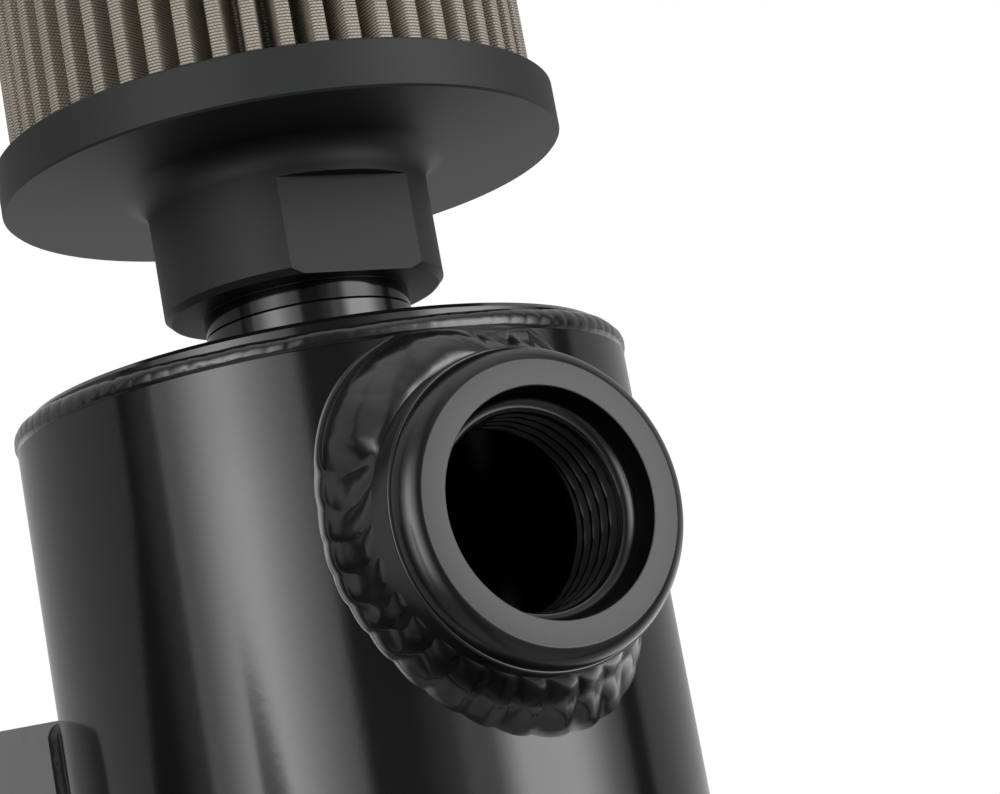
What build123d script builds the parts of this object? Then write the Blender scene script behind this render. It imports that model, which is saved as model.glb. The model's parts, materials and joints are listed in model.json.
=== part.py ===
from build123d import *
from math import cos, hypot, pi, radians, sin, sqrt
import os

os.makedirs("parts", exist_ok=True)

# Oil catch can: a welded tube with a threaded inlet, a screw-in mesh breather and a drain plug.
# Millimetres, +Z up. The can's axis is Z and it stands on Z = 0. The mounting tab points to -X.

# Can
can_r = 42.5
can_wall = 3.0
can_h = 170.0
cap_t = 2.9
cap_step = 1.5
cap_edge_break = 0.6
bevel_h = 1.1

# Weld beads
weld_gap = 0.04
ripple_pitch = 3.3
ripple_dip = 0.45
ripple_break = 0.8
seam_reach = 2.2
seam_bulge = 1.35

# Inlet bung
inlet_turn = 30.0
inlet_drop = 28.9
inlet_proud = 12.75
inlet_thread_r = 12.35
inlet_seat_step = 1.85
inlet_mouth_step = 2.1
inlet_seat_depth = 4.7
inlet_lead = 2.6
inlet_relief_step = 1.6
inlet_relief_depth = 3.5
inlet_face = 3.2
inlet_shoulder = 2.75
inlet_shoulder_h = 3.45
inlet_ledge = 0.25
inlet_sink = 1.2
inlet_weld_climb = 5.5
inlet_weld_side = 0.8
inlet_weld_low = 6.0
inlet_weld_low_turn = -70.0
inlet_weld_high = 1.6
inlet_weld_start = 4.3
inlet_weld_start_turn = 128.0
inlet_weld_start_power = 7
inlet_weld_bulge = 1.1

# Breather bung
bung_rim = 1.6
bung_h = 8.45
bung_depth = 6.0
bung_edge_break = 0.3
bung_weld_leg = 2.8
bung_weld_bulge = 0.9

# Mounting tab
tab_t = 5.0
tab_reach = 45.0
tab_h = 80.0
tab_drop = 40.0
tab_corner_r = 8.0
tab_hole_r = 4.25
tab_hole_spacing = 50.0
tab_hole_edge = 16.0
tab_weld_leg = 3.2
tab_weld_bulge = 0.9
tab_weld_margin = 0.4

# Breather base
screw_gap = 0.06
seat_gap = 0.05
breather_thread_r = 10.16
stem_wall = 2.6
stem_tail = 2.0
stem_lead = 0.8
collar_land = 1.5
collar_h = 2.8
boss_r = 19.8
boss_h = 18.25
boss_chamfer = 0.85
flat_cut = 2.65
flat_h = 13.55
disc_lip = 2.5
disc_t = 6.7
disc_fillet = 3.5
disc_edge_break = 0.3

# Filter
pleat_count = 52
pleat_turn = 1.5
pleat_tip_r = 37.2
pleat_depth = 7.4
pleat_wall = 0.6
pleat_tip_half = 0.95
pleat_root_half = 0.35
filter_h = 56.0
core_gap = 0.4
core_wall = 1.0
core_rows = 2
core_columns = 8
core_bar = 6.0
bond_t = 1.6
bond_lip = 0.9
bond_gap = 0.05
lid_t = 8.0
lid_edge_break = 1.6

# Bottom cap and drain plug
dish_gap = 3.5
dish_wall = 3.0
dish_rise = 15.0
dish_floor = 5.0
dish_break = 1.5
drain_thread_r = 8.0
drain_boss_wall = 5.0
drain_boss_h = 7.0
drain_head_lip = 1.8
drain_head_t = 4.0
drain_head_chamfer = 0.8
drain_key = 10.0
drain_key_depth = 6.0
drain_stem = 10.0

# Seals
seal_gap = 0.1
seal_room = 0.6
breather_seal_r = 1.1
drain_seal_r = 0.8
seal_sides = 8

# Baffle
baffle_clear = 6.7
baffle_t = 2.0
baffle_gap = 0.1
baffle_hole_r = 4.0
baffle_margin = 13.0
baffle_hole_count = 8

# Worked out from the sizes above
up = Vector(0, 0, 1)
inner_r = can_r - can_wall
cap_r = can_r - cap_step
tube_top = can_h - cap_t

inlet_z = can_h - inlet_drop
inlet_centre = Vector(0, 0, inlet_z)
inlet_out = Vector(sin(radians(inlet_turn)), -cos(radians(inlet_turn)), 0)
inlet_side = inlet_out.cross(up) * -1
inlet_axis = Axis(inlet_centre, inlet_out)
inlet_reach = can_r + inlet_proud
inlet_seat_r = inlet_thread_r + inlet_seat_step
inlet_mouth_r = inlet_thread_r + inlet_mouth_step
inlet_r = inlet_mouth_r + inlet_face + inlet_shoulder
inlet_inner = sqrt(can_r**2 - inlet_r**2) - inlet_sink

breather_seat_r = breather_thread_r + 2 * breather_seal_r + seal_room
breather_seat_depth = 2 * breather_seal_r + seal_room
bung_r = breather_seat_r + bung_rim
bung_top = can_h + bung_h
stem_r = breather_thread_r - screw_gap
stem_foot = can_h - bung_depth - stem_tail
air_r = stem_r - stem_wall
collar_r = breather_seat_r + collar_land
boss_foot = bung_top + seat_gap + collar_h
disc_foot = boss_foot + boss_h
disc_top = disc_foot + disc_t
disc_r = pleat_tip_r + disc_lip

pleat_root_r = pleat_tip_r - pleat_depth
core_r = pleat_root_r - pleat_wall - core_gap
bond_inner_r = core_r - core_wall - bond_lip
bond_outer_r = pleat_tip_r + bond_lip
lid_foot = disc_top + filter_h

dish_r = inner_r - dish_gap - dish_wall
dish_top = dish_rise + dish_floor
drain_seat_r = drain_thread_r + 2 * drain_seal_r + seal_room
drain_seat_depth = 2 * drain_seal_r + seal_room
drain_head_r = drain_seat_r + drain_head_lip
drain_boss_r = drain_thread_r + drain_boss_wall
plug_r = drain_thread_r - screw_gap
plug_top = dish_rise - seat_gap

tab_top = can_h - tab_drop
tab_mid = tab_top - tab_h / 2
tab_end = can_r + tab_reach
baffle_top = inlet_z - inlet_r - baffle_clear


def section(plane, points):
    """A closed straight-sided outline on a plane."""
    with BuildSketch(plane, mode=Mode.PRIVATE) as outline:
        with BuildLine():
            Polyline(*points, close=True)
        make_face()
    return outline.sketch


def bead(toe_a, toe_b, inner, bulge):
    """Outline of a weld bead: it bulges to the left on the way from toe to toe, and returns by the inner points."""
    along = (toe_b[0] - toe_a[0], toe_b[1] - toe_a[1])
    length = hypot(*along)
    left = (-along[1] / length, along[0] / length)
    crown = []
    for share in (0.2, 0.5, 0.8):
        rise = bulge * 4 * share * (1 - share)
        crown.append((toe_a[0] + share * along[0] + rise * left[0], toe_a[1] + share * along[1] + rise * left[1]))
    return [toe_a, *crown, toe_b, *inner]


def ripple_steps(count):
    """Places along a bead, from 0 to 1, with the height there: each ripple falls slowly and ends in a step."""
    steps = []
    for i in range(count):
        steps.append((i / count, 1.0))
        steps.append(((i + ripple_break) / count, 1.0 - ripple_dip))
    steps.append((1.0, 1.0))
    return steps


def ripple_count(radius):
    """How many ripples go round a bead of a given radius."""
    return round(2 * pi * radius / ripple_pitch)


def clear_of(radius):
    """Radius whose flats, one between each two sections of a bead, stay clear of a round piece inside them."""
    return (radius + weld_gap) / cos(pi * ripple_break / ripple_count(radius))


def ring_bead(face_at, radius):
    """A rippled bead all the way round, in two halves that meet on flat faces."""
    count = ripple_count(radius)
    steps = ripple_steps(count)
    middle = 2 * (count // 2)
    for half in (steps[: middle + 1], steps[middle:]):
        loft(sections=[face_at(360 * share, height) for share, height in half], ruled=True)


def radial_plane(turn):
    """Upright plane through the can's axis: its x runs outwards and its y up."""
    out = Vector(cos(radians(turn)), sin(radians(turn)), 0)
    return Plane(origin=(0, 0, 0), x_dir=out, z_dir=out.cross(up))


def ring_edge(part, radius, height):
    """The round edge of a turned piece nearest to a radius and a height."""
    rings = part.edges().filter_by(GeomType.CIRCLE)
    return rings.sort_by(lambda e: hypot(e.radius - radius, e.arc_center.Z - height))[0]


# The tube, bevelled at both ends for the seams, with the inlet hole
with BuildPart() as can_tube:
    with BuildSketch(Plane.XZ):
        with BuildLine():
            Polyline(
                (inner_r, cap_t),
                (cap_r, cap_t),
                (can_r, cap_t + bevel_h),
                (can_r, tube_top - bevel_h),
                (cap_r, tube_top),
                (inner_r, tube_top),
                close=True,
            )
        make_face()
    revolve(axis=Axis.Z)
    with BuildSketch(Plane(origin=inlet_centre, x_dir=inlet_side, z_dir=inlet_out)):
        Circle(inlet_r + weld_gap)
    extrude(amount=inlet_reach, mode=Mode.SUBTRACT)

# The flat top plate, bored for the breather bung
with BuildPart() as top_cap:
    with BuildSketch(Plane.XY.offset(tube_top)):
        Circle(cap_r)
        Circle(bung_r + weld_gap, mode=Mode.SUBTRACT)
    extrude(amount=cap_t)
    chamfer(ring_edge(top_cap, cap_r, can_h), cap_edge_break)

# The dished bottom cap: a standing rim, a raised floor and the drain boss, turned in one piece
with BuildPart() as bottom_cap:
    with BuildSketch(Plane.XZ):
        with BuildLine():
            Polyline(
                (dish_r, 0),
                (cap_r, 0),
                (cap_r, cap_t),
                (dish_r + dish_wall, cap_t),
                (dish_r + dish_wall, dish_top),
                (drain_boss_r, dish_top),
                (drain_boss_r, dish_top + drain_boss_h),
                (drain_thread_r, dish_top + drain_boss_h),
                (drain_thread_r, dish_rise + drain_seat_depth),
                (drain_seat_r, dish_rise + drain_seat_depth),
                (drain_seat_r, dish_rise),
                (dish_r, dish_rise),
                close=True,
            )
        make_face()
    revolve(axis=Axis.Z)
    chamfer(ring_edge(bottom_cap, cap_r, 0), cap_edge_break)
    chamfer(ring_edge(bottom_cap, dish_r, dish_rise), dish_break)


def seam_points(height):
    """Outline of the seam bead between the cap's edge and the tube's bevel, at the top of the can."""
    root_z = tube_top + weld_gap
    toe_cap = (cap_r + weld_gap, root_z + seam_reach)
    toe_tube = (can_r + weld_gap, root_z - bevel_h)
    return bead(toe_cap, toe_tube, [(cap_r + weld_gap, root_z)], seam_bulge * height)


def top_seam_face(turn, height):
    return section(radial_plane(turn), seam_points(height))


def bottom_seam_face(turn, height):
    return section(radial_plane(turn), [(x, can_h - y) for x, y in seam_points(height)])


# The two seam beads
with BuildPart() as top_seam_weld:
    ring_bead(top_seam_face, can_r)

with BuildPart() as bottom_seam_weld:
    ring_bead(bottom_seam_face, can_r)

# The inlet bung, turned about its own axis: x is the radius and y the distance from the can's axis
shoulder_foot = (inlet_r - inlet_ledge, inlet_reach - inlet_shoulder_h)

with BuildPart() as inlet_bung:
    with BuildSketch(Plane(origin=inlet_centre, x_dir=inlet_side, z_dir=inlet_side.cross(inlet_out))):
        with BuildLine():
            Polyline(
                (inlet_r - inlet_shoulder, inlet_reach),
                (inlet_mouth_r, inlet_reach),
                (inlet_seat_r, inlet_reach - inlet_seat_depth),
                (inlet_thread_r, inlet_reach - inlet_seat_depth - inlet_lead),
                (inlet_thread_r, inlet_inner + inlet_relief_depth),
                (inlet_thread_r + inlet_relief_step, inlet_inner + inlet_relief_depth),
                (inlet_thread_r + inlet_relief_step, inlet_inner),
                (inlet_r, inlet_inner),
                (inlet_r, inlet_reach - inlet_shoulder_h),
                shoulder_foot,
            )
            TangentArc(shoulder_foot, (inlet_r - inlet_shoulder, inlet_reach), tangent=(0, 1))
        make_face()
    revolve(axis=inlet_axis)


def on_tube(radius, turn):
    """Point of the tube's surface in a section through the inlet's axis, at a radius from that axis."""
    return (radius, sqrt((can_r + 2 * weld_gap) ** 2 - (radius * cos(radians(turn))) ** 2))


def inlet_weld_face(turn, height):
    """Section of the inlet bead: its toe on the tube lies far out below the bung and at the swell where it starts."""
    upright = sin(radians(turn))
    downward = cos(radians(turn - inlet_weld_low_turn))
    startward = cos(radians(turn - inlet_weld_start_turn))
    out = inlet_side * cos(radians(turn)) + up * upright
    root_r = clear_of(inlet_r)
    toe_r = inlet_r + inlet_weld_side
    toe_r += inlet_weld_low * max(downward, 0) ** 2 + inlet_weld_high * max(upright, 0) ** 2
    toe_r += inlet_weld_start * max(startward, 0) ** inlet_weld_start_power
    toe_bung = (root_r, can_r + inlet_weld_climb)
    inner = [on_tube((root_r + toe_r) / 2, turn), on_tube(root_r, turn)]
    points = bead(toe_bung, on_tube(toe_r, turn), inner, inlet_weld_bulge * height)
    return section(Plane(origin=inlet_centre, x_dir=out, z_dir=out.cross(inlet_out)), points)


# The heavy bead between the inlet bung and the tube
with BuildPart() as inlet_weld:
    ring_bead(inlet_weld_face, inlet_r)

# The breather bung in the top cap
with BuildPart() as breather_bung:
    with BuildSketch(Plane.XZ):
        with BuildLine():
            Polyline(
                (breather_thread_r, can_h - bung_depth),
                (bung_r, can_h - bung_depth),
                (bung_r, bung_top),
                (breather_seat_r, bung_top),
                (breather_seat_r, bung_top - breather_seat_depth),
                (breather_thread_r, bung_top - breather_seat_depth),
                close=True,
            )
        make_face()
    revolve(axis=Axis.Z)
    chamfer(ring_edge(breather_bung, bung_r, bung_top), bung_edge_break)


def bung_weld_face(turn, height):
    root = (clear_of(bung_r), can_h + weld_gap)
    toe_bung = (root[0], root[1] + bung_weld_leg)
    toe_cap = (root[0] + bung_weld_leg, root[1])
    return section(radial_plane(turn), bead(toe_bung, toe_cap, [root], bung_weld_bulge * height))


# The bead between the breather bung and the top cap
with BuildPart() as breather_bung_weld:
    ring_bead(bung_weld_face, bung_r)

# The flat mounting tab, with two bolt holes and rounded outer corners
with BuildPart() as mounting_tab:
    with BuildSketch(Plane.XZ) as tab_outline:
        with Locations((-tab_end / 2, tab_mid)):
            Rectangle(tab_end, tab_h)
        fillet(tab_outline.vertices().group_by(Axis.X)[0], tab_corner_r)
        with Locations((tab_hole_edge - tab_end, tab_mid)):
            with GridLocations(0, tab_hole_spacing, 1, 2):
                Circle(tab_hole_r, mode=Mode.SUBTRACT)
    extrude(amount=tab_t / 2, both=True)
    with BuildSketch(Plane.XY):
        Circle(can_r + weld_gap)
    extrude(amount=can_h, mode=Mode.SUBTRACT)


def tab_bead(side):
    """A rippled bead down one side of the tab."""
    face_y = tab_t / 2 + weld_gap
    wall_r = can_r + 2 * weld_gap
    toe_y = face_y + tab_weld_leg
    root = (-sqrt(wall_r**2 - face_y**2), side * face_y)
    toe_wall = (-sqrt(wall_r**2 - toe_y**2), side * toe_y)
    toe_tab = (root[0] - tab_weld_leg, side * face_y)
    mid_y = (face_y + toe_y) / 2
    wall_mid = (-sqrt(wall_r**2 - mid_y**2), side * mid_y)
    length = tab_h - 2 * tab_weld_margin
    foot = tab_top - tab_h + tab_weld_margin
    faces = []
    for share, height in ripple_steps(round(length / ripple_pitch)):
        points = bead(toe_tab, toe_wall, [wall_mid, root], side * tab_weld_bulge * height)
        faces.append(section(Plane.XY.offset(foot + share * length), points))
    loft(sections=faces, ruled=True)


# The beads along the tab
with BuildPart() as tab_weld_front:
    tab_bead(-1)

with BuildPart() as tab_weld_back:
    tab_bead(1)

# The perforated baffle below the inlet
with BuildPart() as baffle_plate:
    with BuildSketch(Plane.XY.offset(baffle_top - baffle_t)):
        Circle(inner_r - baffle_gap)
        with PolarLocations(inner_r - baffle_margin, baffle_hole_count):
            Circle(baffle_hole_r, mode=Mode.SUBTRACT)
    extrude(amount=baffle_t)

# The breather base, turned in one piece from the threaded stem up to the disc, with two wrench flats
with BuildPart() as breather_base:
    with BuildSketch(Plane.XZ):
        with BuildLine():
            Polyline(
                (disc_r, disc_foot),
                (disc_r, disc_top),
                (bond_outer_r, disc_top),
                (bond_outer_r, disc_top - bond_t),
                (bond_inner_r, disc_top - bond_t),
                (bond_inner_r, disc_top),
                (air_r, disc_top),
                (air_r, stem_foot),
                (stem_r - stem_lead, stem_foot),
                (stem_r, stem_foot + stem_lead),
                (stem_r, boss_foot - collar_h),
                (collar_r, boss_foot - collar_h),
                (collar_r, boss_foot),
                (boss_r - boss_chamfer, boss_foot),
                (boss_r, boss_foot + boss_chamfer),
                (boss_r, disc_foot),
                close=True,
            )
        make_face()
    revolve(axis=Axis.Z)
    fillet(ring_edge(breather_base, boss_r, disc_foot), disc_fillet)
    chamfer(ring_edge(breather_base, disc_r, disc_foot), disc_edge_break)
    chamfer(ring_edge(breather_base, disc_r, disc_top), disc_edge_break)
    for turn in (inlet_turn, inlet_turn + 180):
        out = Vector(sin(radians(turn)), -cos(radians(turn)), 0)
        with BuildSketch(Plane(origin=out * (boss_r - flat_cut) + up * boss_foot, x_dir=out.cross(up), z_dir=out)):
            Rectangle(2 * boss_r, 2 * flat_h)
        extrude(amount=boss_r, mode=Mode.SUBTRACT)


def seal_section(stem, cord_r, height):
    """Section of an O-ring that sits on a stem, centred at a height."""
    with BuildSketch(Plane.XZ, mode=Mode.PRIVATE) as cord:
        with Locations((stem + seal_gap + cord_r, height)):
            RegularPolygon(cord_r, seal_sides)
    return cord.sketch.faces()


with BuildPart() as breather_o_ring:
    revolve(seal_section(stem_r, breather_seal_r, bung_top - breather_seat_depth / 2), axis=Axis.Z)

# The rings of potting that hold the pleats, each in the groove of its end cap
with BuildPart() as lower_bond_ring:
    with BuildSketch(Plane.XY.offset(disc_top - bond_t)):
        Circle(bond_outer_r - bond_gap)
        Circle(bond_inner_r + bond_gap, mode=Mode.SUBTRACT)
    extrude(amount=bond_t)

with BuildPart() as upper_bond_ring:
    with BuildSketch(Plane.XY.offset(lid_foot)):
        Circle(bond_outer_r - bond_gap)
        Circle(bond_inner_r + bond_gap, mode=Mode.SUBTRACT)
    extrude(amount=bond_t)


def pleat_line(tip_r, tip_half, root_r, root_half):
    """Closed zigzag of the pleats: a flat crest, a side, a flat valley and a side, all the way round."""
    points = []
    for i in range(pleat_count):
        for radius, half, turn in ((tip_r, tip_half, 2 * i), (root_r, root_half, 2 * i + 1)):
            middle = radians(pleat_turn) + turn * pi / pleat_count
            for edge in (middle - half / radius, middle + half / radius):
                points.append((radius * cos(edge), radius * sin(edge)))
    return points


# The pleated wire cloth: one folded sheet, all the way round
with BuildPart() as filter_mesh:
    with BuildSketch(Plane.XY.offset(disc_top)):
        with BuildLine():
            Polyline(*pleat_line(pleat_tip_r, pleat_tip_half, pleat_root_r, pleat_root_half), close=True)
        make_face()
        with BuildLine():
            fold_tip = pleat_tip_half - pleat_wall
            fold_root = pleat_root_half + pleat_wall
            Polyline(
                *pleat_line(pleat_tip_r - pleat_wall, fold_tip, pleat_root_r - pleat_wall, fold_root),
                close=True,
            )
        make_face(mode=Mode.SUBTRACT)
    extrude(amount=filter_h)

# The windowed tube that carries the pleats
core_window_h = (filter_h - (core_rows + 1) * core_bar) / core_rows
core_window_w = 2 * pi * core_r / core_columns - core_bar

with BuildPart() as filter_core:
    with BuildSketch(Plane.XY.offset(disc_top)):
        Circle(core_r)
        Circle(core_r - core_wall, mode=Mode.SUBTRACT)
    extrude(amount=filter_h)
    for turn in range(core_columns):
        out = Vector(cos(2 * pi * turn / core_columns), sin(2 * pi * turn / core_columns), 0)
        with BuildSketch(Plane(origin=up * (disc_top + filter_h / 2), x_dir=up, z_dir=out)):
            with GridLocations(core_window_h + core_bar, 0, core_rows, 1):
                Rectangle(core_window_h, core_window_w)
        extrude(amount=2 * core_r, mode=Mode.SUBTRACT)

# The plain cap on top of the filter
with BuildPart() as filter_top_cap:
    with BuildSketch(Plane.XY.offset(lid_foot)):
        Circle(disc_r)
    extrude(amount=lid_t)
    with BuildSketch(Plane.XY.offset(lid_foot)):
        Circle(bond_outer_r)
        Circle(bond_inner_r, mode=Mode.SUBTRACT)
    extrude(amount=bond_t, mode=Mode.SUBTRACT)
    chamfer(ring_edge(filter_top_cap, disc_r, lid_foot + lid_t), lid_edge_break)
    chamfer(ring_edge(filter_top_cap, disc_r, lid_foot), disc_edge_break)

# The hollow-hex drain plug
with BuildPart() as drain_plug:
    with BuildSketch(Plane.XZ):
        with BuildLine():
            Polyline(
                (0, plug_top - drain_head_t),
                (drain_head_r - drain_head_chamfer, plug_top - drain_head_t),
                (drain_head_r, plug_top - drain_head_t + drain_head_chamfer),
                (drain_head_r, plug_top),
                (plug_r, plug_top),
                (plug_r, plug_top + drain_stem - stem_lead),
                (plug_r - stem_lead, plug_top + drain_stem),
                (0, plug_top + drain_stem),
                close=True,
            )
        make_face()
    revolve(axis=Axis.Z)
    with BuildSketch(Plane.XY.offset(plug_top - drain_head_t)):
        RegularPolygon(drain_key / 2, 6, major_radius=False)
    extrude(amount=drain_key_depth, mode=Mode.SUBTRACT)

with BuildPart() as drain_o_ring:
    revolve(seal_section(plug_r, drain_seal_r, dish_rise + drain_seat_depth / 2), axis=Axis.Z)

# Names and files
pieces = {
    "can_tube": can_tube,
    "top_cap": top_cap,
    "bottom_cap": bottom_cap,
    "top_seam_weld": top_seam_weld,
    "bottom_seam_weld": bottom_seam_weld,
    "inlet_bung": inlet_bung,
    "inlet_weld": inlet_weld,
    "breather_bung": breather_bung,
    "breather_bung_weld": breather_bung_weld,
    "mounting_tab": mounting_tab,
    "tab_weld_front": tab_weld_front,
    "tab_weld_back": tab_weld_back,
    "baffle_plate": baffle_plate,
    "breather_base": breather_base,
    "breather_o_ring": breather_o_ring,
    "lower_bond_ring": lower_bond_ring,
    "upper_bond_ring": upper_bond_ring,
    "filter_mesh": filter_mesh,
    "filter_core": filter_core,
    "filter_top_cap": filter_top_cap,
    "drain_plug": drain_plug,
    "drain_o_ring": drain_o_ring,
}
for name, piece in pieces.items():
    piece.part.label = name
    export_step(piece.part, f"parts/{name}.step")
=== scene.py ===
"""Dresses the solids of an oil catch can and puts it in a plain white studio.

The can is a gloss black welded tube with a threaded inlet.
A breather with a pleated wire-cloth filter screws into its top.
"""

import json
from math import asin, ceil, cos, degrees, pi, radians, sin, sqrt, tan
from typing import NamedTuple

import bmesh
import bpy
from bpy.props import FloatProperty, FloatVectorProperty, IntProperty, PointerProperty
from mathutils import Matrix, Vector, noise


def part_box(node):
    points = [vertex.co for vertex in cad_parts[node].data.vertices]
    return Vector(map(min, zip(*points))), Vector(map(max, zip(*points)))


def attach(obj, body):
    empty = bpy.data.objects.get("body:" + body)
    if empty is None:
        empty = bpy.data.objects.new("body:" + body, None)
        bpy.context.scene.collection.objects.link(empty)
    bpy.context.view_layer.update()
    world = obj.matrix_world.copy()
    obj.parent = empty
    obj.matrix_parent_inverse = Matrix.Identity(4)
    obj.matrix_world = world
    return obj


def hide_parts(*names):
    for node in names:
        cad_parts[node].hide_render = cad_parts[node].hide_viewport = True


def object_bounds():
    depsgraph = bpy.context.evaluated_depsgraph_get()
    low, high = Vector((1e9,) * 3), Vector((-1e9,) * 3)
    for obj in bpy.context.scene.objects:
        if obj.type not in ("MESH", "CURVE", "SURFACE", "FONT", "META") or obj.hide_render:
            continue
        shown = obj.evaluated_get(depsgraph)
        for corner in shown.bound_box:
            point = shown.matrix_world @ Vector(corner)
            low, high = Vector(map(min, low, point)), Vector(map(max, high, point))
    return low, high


bl_info = {
    "name": "Oil Catch Can",
    "version": (1, 0, 0),
    "blender": (4, 5, 0),
    "location": "View3D > Sidebar > Catch Can",
    "description": "Builds the visible pieces and finishes of an oil catch can",
    "category": "Object",
}

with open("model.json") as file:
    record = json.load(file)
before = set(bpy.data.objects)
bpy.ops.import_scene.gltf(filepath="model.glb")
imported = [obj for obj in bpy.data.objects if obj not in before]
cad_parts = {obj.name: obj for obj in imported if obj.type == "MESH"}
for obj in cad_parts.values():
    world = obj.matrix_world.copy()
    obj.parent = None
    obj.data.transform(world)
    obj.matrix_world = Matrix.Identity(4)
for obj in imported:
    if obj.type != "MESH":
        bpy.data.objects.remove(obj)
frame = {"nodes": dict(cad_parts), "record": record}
cad_low, cad_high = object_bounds()

MM = 0.001
UP = Vector((0, 0, 1))
CLOTH_MAP = "cloth"
SHARP = radians(32)

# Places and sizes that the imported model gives
port = next(mount for mount in frame["record"]["mounts"] if mount["name"] == "inlet_port")
PORT_OUT = Vector(port["axis"]).normalized()
PORT_SIDE = UP.cross(PORT_OUT)
PORT_Z = port["pos_m"][2]
THREAD_R = port["dims"]["r_mm"] * MM
THREAD_BACK = Vector(port["pos_m"]).dot(PORT_OUT) - port["dims"]["length_mm"] * MM / 2

tube_low, tube_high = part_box("can_tube")
TUBE_R = tube_high.x
BUNG_R = (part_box("inlet_bung")[1].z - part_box("inlet_bung")[0].z) / 2
bung_reach = [v.co.dot(PORT_OUT) for v in frame["nodes"]["inlet_bung"].data.vertices]
BUNG_FACE = max(bung_reach)
BUNG_BACK = min(bung_reach)
CAP_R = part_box("top_cap")[1].x
CAP_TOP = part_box("top_cap")[1].z
NECK_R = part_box("breather_bung")[1].x
BOSS_STEP = 2 * MM
base_points = [v.co for v in frame["nodes"]["breather_base"].data.vertices]
BOSS_FOOT = min(p.z for p in base_points if p.xy.length > NECK_R + BOSS_STEP)
CLOTH_R = max(v.co.xy.length for v in frame["nodes"]["filter_mesh"].data.vertices)
cloth_low, cloth_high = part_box("filter_mesh")
TAB_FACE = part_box("mounting_tab")[1].y
tab_bead_low, tab_bead_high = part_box("tab_weld_front")


class CanSizes(bpy.types.PropertyGroup):
    """Sizes of the visible detail that the solids leave out."""

    turn_steps: IntProperty(
        name="Turned facets", description="Facets round a turned piece", default=256, min=32
    )
    wall: FloatProperty(name="Wall", description="Wall of the tube", default=3.0 * MM, unit="LENGTH")
    bevel: FloatProperty(
        name="Bevel", description="Height of the tube's end bevels", default=1.1 * MM, unit="LENGTH"
    )
    ripple_pitch: FloatProperty(
        name="Ripple pitch", description="Distance between weld ripples", default=2.7 * MM, unit="LENGTH"
    )
    ripple_depth: FloatProperty(
        name="Ripple depth", description="Depth of the weld ripples", default=0.45 * MM, unit="LENGTH"
    )
    seam_reach: FloatProperty(
        name="Seam reach", description="Height of a seam bead on the cap", default=1.3 * MM, unit="LENGTH"
    )
    seam_climb: FloatProperty(
        name="Seam climb",
        description="How much higher a seam bead goes at the sides",
        default=1.0 * MM,
        unit="LENGTH",
    )
    seam_bulge: FloatProperty(
        name="Seam bulge", description="Bulge of a seam bead", default=1.1 * MM, unit="LENGTH"
    )
    port_weld_climb: FloatProperty(
        name="Port bead climb",
        description="Height of the inlet's bead on the bung",
        default=5.5 * MM,
        unit="LENGTH",
    )
    port_weld_bulge: FloatProperty(
        name="Port bead bulge", description="Bulge of the inlet's bead", default=0.4 * MM, unit="LENGTH"
    )
    neck_weld_leg: FloatProperty(
        name="Neck bead leg",
        description="Leg of the bead round the neck",
        default=2.8 * MM,
        unit="LENGTH",
    )
    neck_weld_bulge: FloatProperty(
        name="Neck bead bulge",
        description="Bulge of the bead round the neck",
        default=0.85 * MM,
        unit="LENGTH",
    )
    tab_weld_bulge: FloatProperty(
        name="Tab bead bulge",
        description="Bulge of the beads along the tab",
        default=0.15 * MM,
        unit="LENGTH",
    )
    thread_pitch: FloatProperty(
        name="Thread pitch", description="Pitch of the inlet's thread", default=2.117 * MM, unit="LENGTH"
    )
    thread_depth: FloatProperty(
        name="Thread depth", description="Depth of the inlet's thread", default=1.1 * MM, unit="LENGTH"
    )
    port_shoulder: FloatProperty(
        name="Port shoulder",
        description="Width of the bung's round shoulder",
        default=2.75 * MM,
        unit="LENGTH",
    )
    port_shoulder_height: FloatProperty(
        name="Shoulder height",
        description="Height of the bung's round shoulder",
        default=3.45 * MM,
        unit="LENGTH",
    )
    port_ledge: FloatProperty(
        name="Port ledge", description="Step below the bung's shoulder", default=0.35 * MM, unit="LENGTH"
    )
    port_mouth: FloatProperty(
        name="Port mouth",
        description="Width of the mouth outside the thread",
        default=2.1 * MM,
        unit="LENGTH",
    )
    port_seat: FloatProperty(
        name="Port seat",
        description="Width of the seal seat outside the thread",
        default=1.85 * MM,
        unit="LENGTH",
    )
    port_seat_depth: FloatProperty(
        name="Port seat depth", description="Depth of the seal seat", default=3.2 * MM, unit="LENGTH"
    )
    port_relief: FloatProperty(
        name="Port relief",
        description="Width of the relief behind the thread",
        default=1.6 * MM,
        unit="LENGTH",
    )
    pleat_count: IntProperty(name="Pleats", description="Pleats of the filter cloth", default=52, min=3)
    pleat_depth: FloatProperty(
        name="Pleat depth", description="Depth of a pleat", default=7.4 * MM, unit="LENGTH"
    )
    pleat_crest: FloatProperty(
        name="Pleat crest", description="Half width of a pleat's crest", default=0.95 * MM, unit="LENGTH"
    )
    pleat_valley: FloatProperty(
        name="Pleat valley",
        description="Half width of a pleat's valley",
        default=0.35 * MM,
        unit="LENGTH",
    )
    pleat_turn: FloatProperty(
        name="Pleat turn", description="Turn of the first pleat", subtype="ANGLE", default=radians(1.5)
    )
    cloth_thickness: FloatProperty(
        name="Cloth", description="Thickness of the wire cloth", default=0.6 * MM, unit="LENGTH"
    )
    wire_pitch: FloatProperty(
        name="Wire pitch",
        description="Distance between the cloth's level wires",
        default=0.42 * MM,
        unit="LENGTH",
    )


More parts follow.
